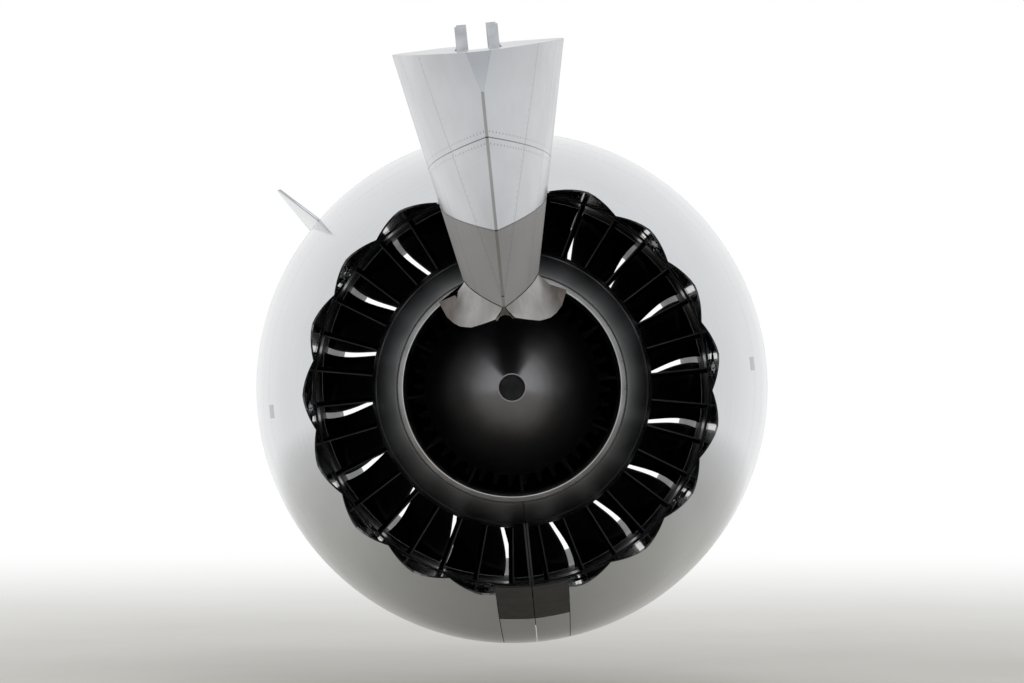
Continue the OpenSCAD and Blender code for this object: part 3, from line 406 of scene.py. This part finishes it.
# Rolled titanium: warmer and duller than the steel.
titanium = finish("titanium_sheet", "#6a6764", "#83807c", 1.0, 0.38, 0.08, 6.0, bump_mm=0.2)
# Brown-black and matt on the drain panel.
dark_panel = finish(
    "matt_brown_black_drain_panel", "#0a0807", "#171310", 0.0, 0.5, 0.08, 4.0, bump_mm=0.3, shine=0.2
)

# The pylon's grey panels lie aft of a station and below an edge that sinks going aft.
GREY_FROM = 5.05
GREY_EDGE_SINKS = 0.16
GREY_EDGE = 2.118


def pylon_finish():
    """Polished silver paint, with a duller, rougher, less metallic grey below a sloping edge
    beside the exhaust.
    """
    material, tree = new_material("silver_and_matt_grey_pylon_paint")
    station, _, height = surface_place(tree)
    sunk = math_node(tree, "MULTIPLY", station, GREY_EDGE_SINKS)
    edge = math_node(tree, "ADD", height, sunk)
    below = math_node(tree, "LESS_THAN", edge, GREY_EDGE)
    aft = math_node(tree, "GREATER_THAN", station, GREY_FROM)
    dull = math_node(tree, "MULTIPLY", below, aft)
    cloud = noise(tree, 1.6, 4, (1, 0.4, 1))
    silver = ramp(tree, cloud, "#9b9ea2", "#b4b7bb")
    grey = ramp(tree, cloud, "#6f6d6b", "#82807e")
    lines = most(tree, [pylon_lines(tree), band(tree, edge, GREY_EDGE, 0.004)])
    colour = mixed_colour(tree, lines, mixed_colour(tree, dull, silver, grey), linear("#2f3032"))
    wear = math_node(tree, "MULTIPLY", noise(tree, 5, 3), 0.08)
    rough = math_node(tree, "ADD", map_range(tree, dull, 0.17, 0.5), wear)
    metal = map_range(tree, dull, 0.85, 0.2)
    ripple = bump(tree, noise(tree, 2.5, 2), 0.006, 0.35)
    shader = node(
        tree, "ShaderNodeBsdfPrincipled", Base__Color=colour, Metallic=metal, Roughness=rough,
        Normal=ripple
    )
    put_out(tree, shader.outputs[0])
    return material


pylon_paint = pylon_finish()
# Heat-tinted nickel sheet, polished by the exhaust.
shield_metal = finish(
    "polished_heat_shield_alloy", "#2a2624", "#6b655f", 1.0, 0.16, 0.06, 5.0, (2.4, 0.5, 1)
)

FINISH_OF_SLOT = {
    "polished_lip": polished_lip, "nacelle_paint": nacelle_skin, "duct_liner": duct_lining,
    "fan_composite": blade_carbon, "steel_parts": steel, "titanium_parts": titanium,
    "bare_nozzle": nozzle_metal, "plug_metal": plug_metal, "dark_panel": dark_panel,
    "core_cowl_paint": core_paint, "pylon_paint": pylon_paint, "shield_metal": shield_metal,
}
FINISH_OF_NODE = {
    "fan_cowl_left": cowl_skin, "fan_cowl_right": cowl_skin,
    "fan_case": fan_lining, "inlet_inner_barrel": inlet_lining,
    "turbine_rear_frame": burnt_and_shaded_metal, "low_pressure_turbine": burnt_and_shaded_metal,
    "turbine_case": burnt_and_shaded_metal,
    "outlet_guide_vanes": vane_metal, "strake": nacelle_paint, "oil_door": nacelle_paint,
    "inlet_outer_barrel": nacelle_paint,
}
for part in frame["record"]["subparts"]:
    cad = frame["nodes"][part["node"]]
    chosen = FINISH_OF_NODE.get(part["node"], FINISH_OF_SLOT[part["material_slot"]])
    cad.data.materials.clear()
    cad.data.materials.append(chosen)


# Pieces

def piece(name, mesh, materials, body):
    """Makes a smooth-shaded object of a mesh, riding on a body."""
    data = bpy.data.meshes.new(name)
    for face in mesh.faces:
        face.smooth = True
    mesh.to_mesh(data)
    mesh.free()
    made = bpy.data.objects.new(name, data)
    bpy.context.scene.collection.objects.link(made)
    for material in materials:
        data.materials.append(material)
    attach(made, body)
    return made


def around(angle, radius, station):
    """Point at an angle from +X towards +Z, which is anticlockwise as seen from behind."""
    return at(station, radius * math.cos(angle), radius * math.sin(angle))


# Fan blades

FAN_COUNT = 18
FAN_STATION = 1.33
FAN_LENGTH = 0.42
HUB_R = 0.44
FAN_R = 1.405
FOOT_GAP = 0.001
# Degrees that a blade covers and that its middle sways, seen from behind.
BLADE_SPAN = 360 / FAN_COUNT - 1.7
SWAY = 3.2
SWAY_TURN = 300
# Lengths along the axis and half thicknesses, at the foot and how much the tip has less.
FOOT_LENGTH, LENGTH_LOSS, LENGTH_POWER = 0.38, 0.15, 1.3
FOOT_HALF, HALF_LOSS = 0.016, 0.011
SWEEP = 0.025
CAMBER = 0.03
# Where the section is squared off at its edges, and how far the metal edge reaches.
BLUNTNESS = 0.02
METAL_EDGE = 0.075


def blade_place(around_section, height):
    """Point on a blade, and how far from its front edge it is.

    around_section runs from the front edge along one face to the rear edge and back.
    """
    radius = HUB_R + FOOT_GAP + (FAN_R - HUB_R - FOOT_GAP) * height
    far = (radius - HUB_R) / (FAN_R - HUB_R)
    turn = around_section * 2
    side = 1 if turn <= 1 else -1
    u = (1 - math.cos(math.pi * (turn if turn <= 1 else 2 - turn))) / 2
    lean = SWAY * math.sin(math.radians(SWAY_TURN * far)) + BLADE_SPAN * (u - 0.5)
    half = (FOOT_HALF - HALF_LOSS * far) * math.sqrt(max(BLUNTNESS, 4 * u * (1 - u)))
    station = (
        FAN_STATION + FAN_LENGTH / 2 + SWEEP * math.sin(math.pi * far)
        + (FOOT_LENGTH - LENGTH_LOSS * far ** LENGTH_POWER) * (u - 0.5)
        - CAMBER * math.sin(math.pi * u) + side * half
    )
    return station, radius, math.radians(90 - lean), u


def fan_blades():
    """All the blades as one piece, with a metal strip along their front edges."""
    mesh = bmesh.new()
    round_steps, high_steps = 32, 26
    grid = bmesh.ops.create_grid(mesh, x_segments=round_steps, y_segments=high_steps, size=0.5)
    metal_verts = set()
    for vert in grid["verts"]:
        station, radius, angle, u = blade_place(vert.co.x + 0.5, vert.co.y + 0.5)
        vert.co = around(angle, radius, station)
        if u < METAL_EDGE:
            metal_verts.add(vert)
    bmesh.ops.remove_doubles(mesh, verts=mesh.verts, dist=0.0002)
    bmesh.ops.holes_fill(mesh, edges=[e for e in mesh.edges if e.is_boundary])
    for face in mesh.faces:
        if all(vert in metal_verts for vert in face.verts):
            face.material_index = 1
    bmesh.ops.recalc_face_normals(mesh, faces=mesh.faces)
    one = mesh.faces[:]
    for i in range(1, FAN_COUNT):
        copy = bmesh.ops.duplicate(mesh, geom=one)["geom"]
        bmesh.ops.rotate(
            mesh, cent=at(0), matrix=Matrix.Rotation(math.tau * i / FAN_COUNT, 3, "Y"),
            verts=[g for g in copy if isinstance(g, bmesh.types.BMVert)]
        )
    made = piece(
        "fan_blades_moulded", mesh, [blade_carbon, titanium], "low_pressure_spool"
    )
    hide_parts("fan_blades")


fan_blades()


# Smooth skins

SKINS = [
    "inlet_lip", "inlet_outer_barrel", "inlet_inner_barrel", "fan_case", "core_fairing",
    "core_nozzle", "exhaust_plug", "spinner", "fan_cowl_left", "fan_cowl_right",
    "reverser_left", "reverser_right", "core_cowl_left", "core_cowl_right", "sleeve_left",
    "sleeve_right", "pylon_front_fairing", "pylon_aft_fairing", "heat_shield",
    "outlet_guide_vanes",
]

# Points nearer than this are one point, and edges shorter than this are dissolved.
SAME_POINT = 0.00005
SHORT_EDGE = 0.00002
# A fold sharper than this stays an edge.
SHARP_FOLD = math.radians(28)


def smooth_skin(name):
    """A merged copy of a CAD node's mesh, shaded smooth up to its real edges."""
    cad = frame["nodes"][name]
    mesh = bmesh.new()
    mesh.from_mesh(cad.data)
    bmesh.ops.remove_doubles(mesh, verts=mesh.verts, dist=SAME_POINT)
    bmesh.ops.dissolve_degenerate(mesh, edges=mesh.edges, dist=SHORT_EDGE)
    for edge in mesh.edges:
        edge.smooth = len(edge.link_faces) == 2 and edge.calc_face_angle(math.pi) < SHARP_FOLD
    for face in mesh.faces:
        face.material_index = 0
    made = piece(
        name + "_skin", mesh, [cad.data.materials[0]], cad["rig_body"]
    )
    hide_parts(name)


for skin in SKINS:
    smooth_skin(skin)


# Strake

STRAKE_ROUNDING = 0.0065
# Folds of the plate that are rounded, in radians.
STRAKE_RIM_FOLD = 1.2


def strake_fin():
    """The strake's plate, rounded along its edges."""
    cad = frame["nodes"]["strake"]
    mesh = bmesh.new()
    mesh.from_mesh(cad.data)
    bmesh.ops.remove_doubles(mesh, verts=mesh.verts, dist=0.0001)
    bmesh.ops.dissolve_limit(mesh, angle_limit=math.radians(2), verts=mesh.verts, edges=mesh.edges)
    rim = [
        edge for edge in mesh.edges
        if len(edge.link_faces) == 2 and edge.calc_face_angle(0) > STRAKE_RIM_FOLD
    ]
    bmesh.ops.bevel(
        mesh, geom=rim, offset=STRAKE_ROUNDING, affect="EDGES", segments=3, profile=0.5,
        material=-1
    )
    made = piece("strake_fin", mesh, [nacelle_paint], cad["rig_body"])
    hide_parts("strake")


strake_fin()


# Stage

FLOOR_CLEARANCE = 0.5
FLOOR_MIDDLE_Y = -2
FLOOR_HALF_SIZE = 120
FADE_FROM, FADE_TO = 5.0, 26.0


def stage_floor():
    """A floor that is level in the photograph, where the engine leans, and that fades to white."""
    mesh = bmesh.new()
    bmesh.ops.create_grid(mesh, x_segments=1, y_segments=1, size=FLOOR_HALF_SIZE)
    drop = -NACELLE_R - FLOOR_CLEARANCE
    bmesh.ops.translate(mesh, verts=mesh.verts, vec=(0, FLOOR_MIDDLE_Y, drop))
    level = Matrix.Rotation(PHOTO_ROLL, 3, "Y")
    bmesh.ops.rotate(mesh, verts=mesh.verts, cent=(0, 0, 0), matrix=level)
    bmesh.ops.translate(mesh, verts=mesh.verts, vec=(0, 0, AXIS_Z))
    data = bpy.data.meshes.new("floor")
    mesh.to_mesh(data)
    floor = bpy.data.objects.new("floor", data)
    bpy.context.scene.collection.objects.link(floor)
    material, tree = new_material("pale_concrete_floor")
    colour = ramp(tree, noise(tree, 0.4, 4), "#c9c2b6", "#d3ccc1")
    reach = node(
        tree, "ShaderNodeVectorMath", {"operation": "LENGTH"}, _0=object_place(tree)
    ).outputs["Value"]
    gone = node(
        tree, "ShaderNodeMapRange", {"interpolation_type": "SMOOTHSTEP"}, Value=reach,
        From__Min=FADE_FROM, From__Max=FADE_TO
    ).outputs[0]
    rays = node(tree, "ShaderNodeLightPath").outputs
    # Only what the camera and the reflections see fades; the floor's soft light stays.
    seen = most(tree, [rays["Is Camera Ray"], rays["Is Glossy Ray"]])
    ground = node(tree, "ShaderNodeBsdfDiffuse", Color=colour).outputs[0]
    clear = node(tree, "ShaderNodeBsdfTransparent").outputs[0]
    faded = node(
        tree, "ShaderNodeMixShader", Fac=math_node(tree, "MULTIPLY", gone, seen),
        _1=ground, _2=clear
    )
    put_out(tree, faded.outputs[0])
    data.materials.append(material)


def world_light():
    """Soft daylight, with plain white for what is seen and mirrored."""
    world = bpy.data.worlds.new("studio")
    bpy.context.scene.world = world
    world.use_nodes = True
    tree = world.node_tree
    tree.nodes.clear()
    rays = node(tree, "ShaderNodeLightPath").outputs
    seen = most(
        tree, [rays["Is Camera Ray"], rays["Is Transmission Ray"], rays["Is Glossy Ray"]]
    )
    soft = node(tree, "ShaderNodeBackground", Color=linear("#dfe6ee"), Strength=0.95).outputs[0]
    white = node(tree, "ShaderNodeBackground", Color=(1, 1, 1, 1), Strength=1.0).outputs[0]
    mixed = node(tree, "ShaderNodeMixShader", Fac=seen, _1=soft, _2=white)
    out = tree.nodes.new("ShaderNodeOutputWorld")
    tree.links.new(mixed.outputs[0], out.inputs["Surface"])


MIDDLE_STATION = 4.0


def soft_lamp(name, place, size, power):
    """A large square lamp aimed at the middle of the engine."""
    lamp = bpy.data.lights.new(name, "AREA")
    lamp.size = size
    lamp.energy = power
    holder = bpy.data.objects.new(name, lamp)
    bpy.context.scene.collection.objects.link(holder)
    holder.location = place
    holder.rotation_mode = "QUATERNION"
    holder.rotation_quaternion = (at(MIDDLE_STATION) - Vector(place)).to_track_quat("-Z", "Y")


stage_floor()
world_light()
soft_lamp("key", (9, -14, 9), size=18, power=1700)
soft_lamp("fill", (-12, -8, 5), size=14, power=900)
bpy.context.scene.view_settings.view_transform = "Standard"
